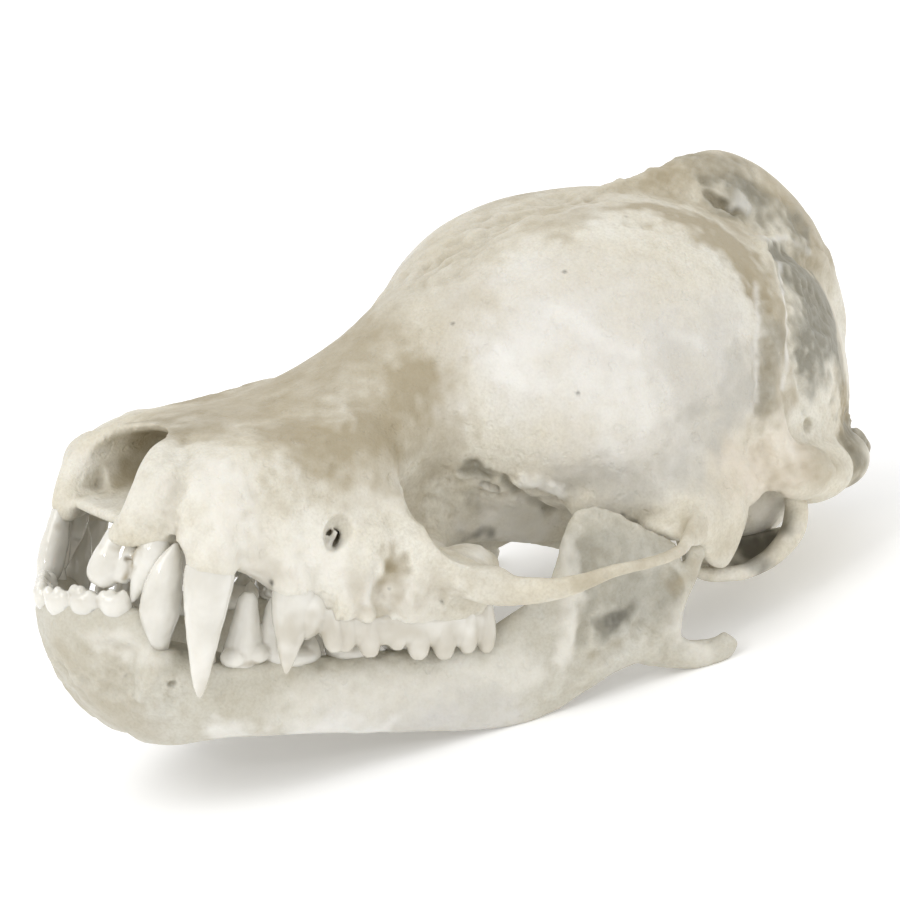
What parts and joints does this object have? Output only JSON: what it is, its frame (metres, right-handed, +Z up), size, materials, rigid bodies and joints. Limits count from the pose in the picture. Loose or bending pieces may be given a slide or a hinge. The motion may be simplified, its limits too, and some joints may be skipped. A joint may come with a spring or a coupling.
{
  "type": "bat skull",
  "caption": "Life-size skull of a small insect-eating bat with its lower jaw, cleaned and resting with the jaws closed.",
  "frame": {"origin": "middle of the skull's outline on the surface that it rests on, below the braincase", "axes": "+Z up, +Y towards the back of the head, +X towards the animal's left"},
  "size_m": [0.0132, 0.022, 0.0101],
  "materials": {
    "rostrum_bone_and_teeth": "dry bone, matt to satin, with glossy teeth",
    "braincase_bone": "thin dry bone, matt, slightly translucent",
    "arch_bone_left": "dry bone, matt",
    "arch_bone_right": "dry bone, matt",
    "jaw_bone_left": "dry bone, matt to satin, with glossy teeth",
    "jaw_bone_right": "dry bone, matt to satin, with glossy teeth",
    "ring_bone_left": "thin dry bone, matt",
    "ring_bone_right": "thin dry bone, matt"
  },
  "bodies": {
    "root": {"rostrum": "rostrum_bone_and_teeth", "braincase": "braincase_bone", "zygomatic_arch_left": "arch_bone_left", "zygomatic_arch_right": "arch_bone_right", "mandible_left": "jaw_bone_left", "mandible_right": "jaw_bone_right", "tympanic_ring_left": "ring_bone_left", "tympanic_ring_right": "ring_bone_right"}
  },
  "joints": []
}
